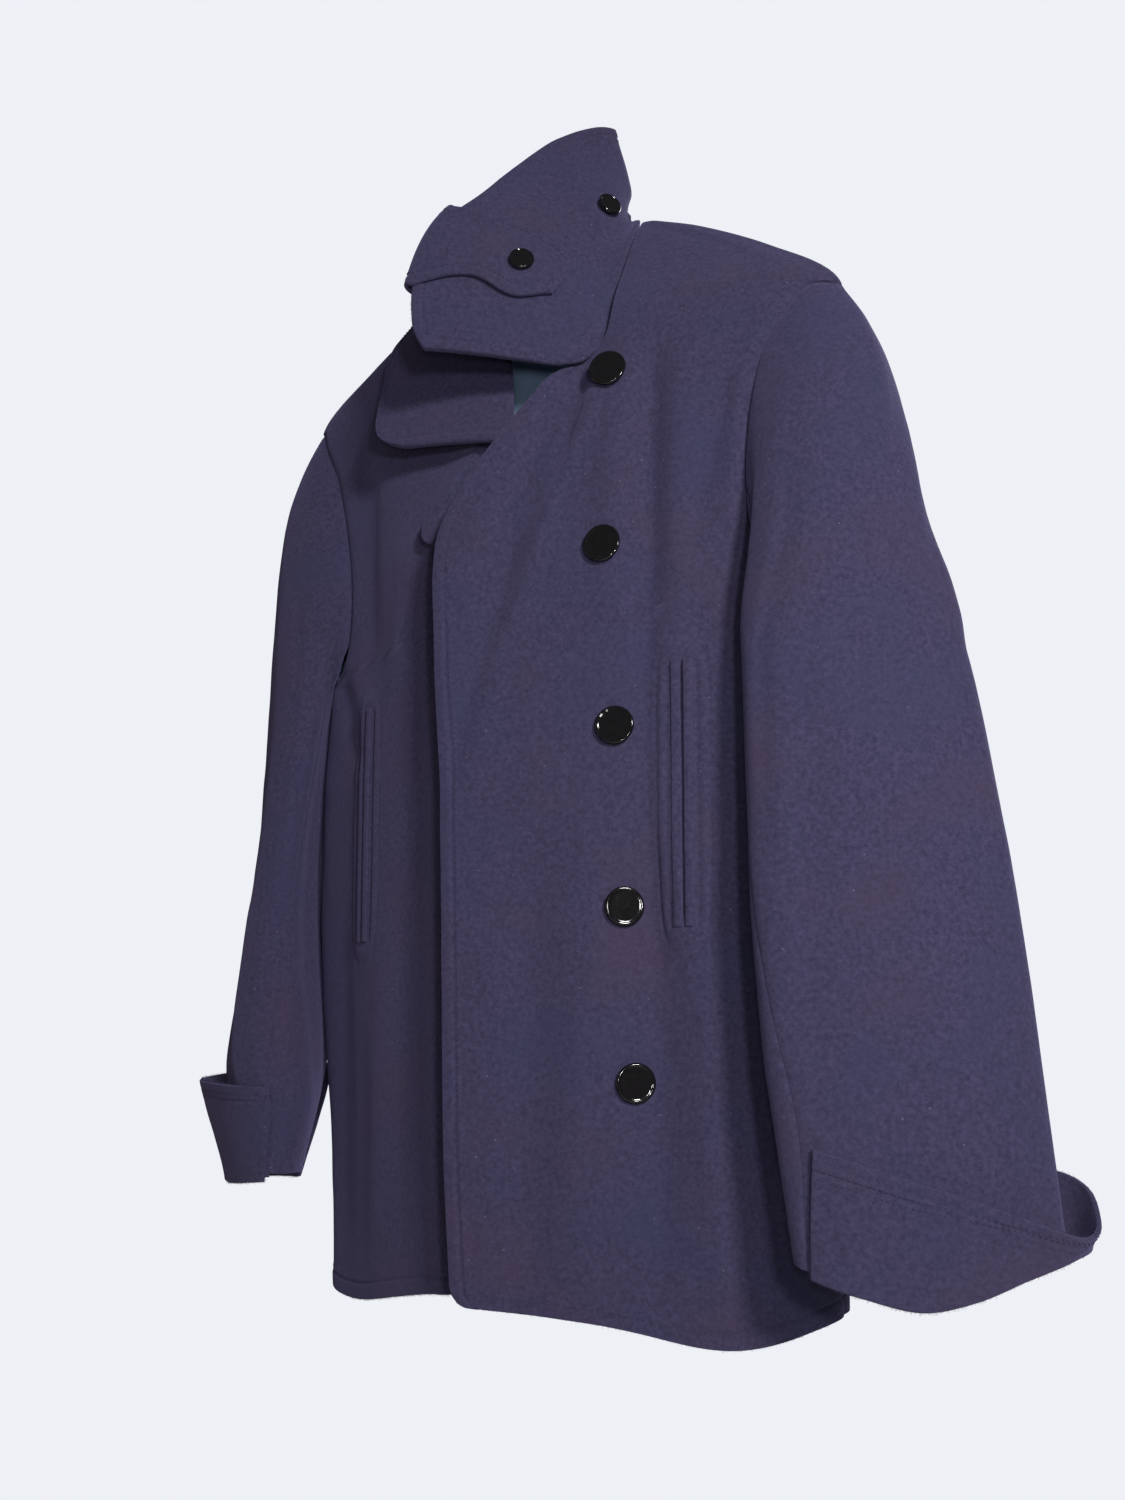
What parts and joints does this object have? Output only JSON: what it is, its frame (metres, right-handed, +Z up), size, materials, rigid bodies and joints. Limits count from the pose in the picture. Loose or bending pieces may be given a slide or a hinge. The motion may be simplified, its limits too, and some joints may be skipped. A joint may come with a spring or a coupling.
{
  "type": "peacoat on wall hook",
  "caption": "Double breasted wool coat hanging unbuttoned by its loop on a small wall hook, with a turned up collar, a throat latch, slanted fronts, welt pockets and turned back cuffs.",
  "frame": {"origin": "middle of the hook plate's back, on the wall", "axes": "+Z up, +Y into the wall, so the coat's front faces -Y; +X is the wearer's left"},
  "size_m": [0.6972, 0.1772, 0.902],
  "materials": {
    "wool": "matt melton wool with a short nap",
    "lining": "smooth woven lining with a soft sheen",
    "button": "polished",
    "hook_steel": "satin"
  },
  "bodies": {
    "root": {"front_left": "wool", "front_right": "wool", "back_left": "wool", "back_right": "wool", "lapel_left": "wool", "lapel_right": "wool", "collar_back": "wool", "collar_wing_left": "wool", "collar_wing_right": "wool", "throat_latch": "wool", "sleeve_top_left": "wool", "sleeve_under_left": "wool", "sleeve_top_right": "wool", "sleeve_under_right": "wool", "cuff_left": "wool", "cuff_right": "wool", "welt_front_left": "wool", "welt_rear_left": "wool", "welt_front_right": "wool", "welt_rear_right": "wool", "hanging_loop": "wool", "lining_back": "lining", "button_1": "button", "button_2": "button", "button_3": "button", "button_4": "button", "button_5": "button", "button_latch": "button", "button_collar": "button", "hook_plate": "hook_steel", "hook_arm": "hook_steel", "hook_screw_upper": "hook_steel", "hook_screw_lower": "hook_steel"}
  },
  "joints": []
}
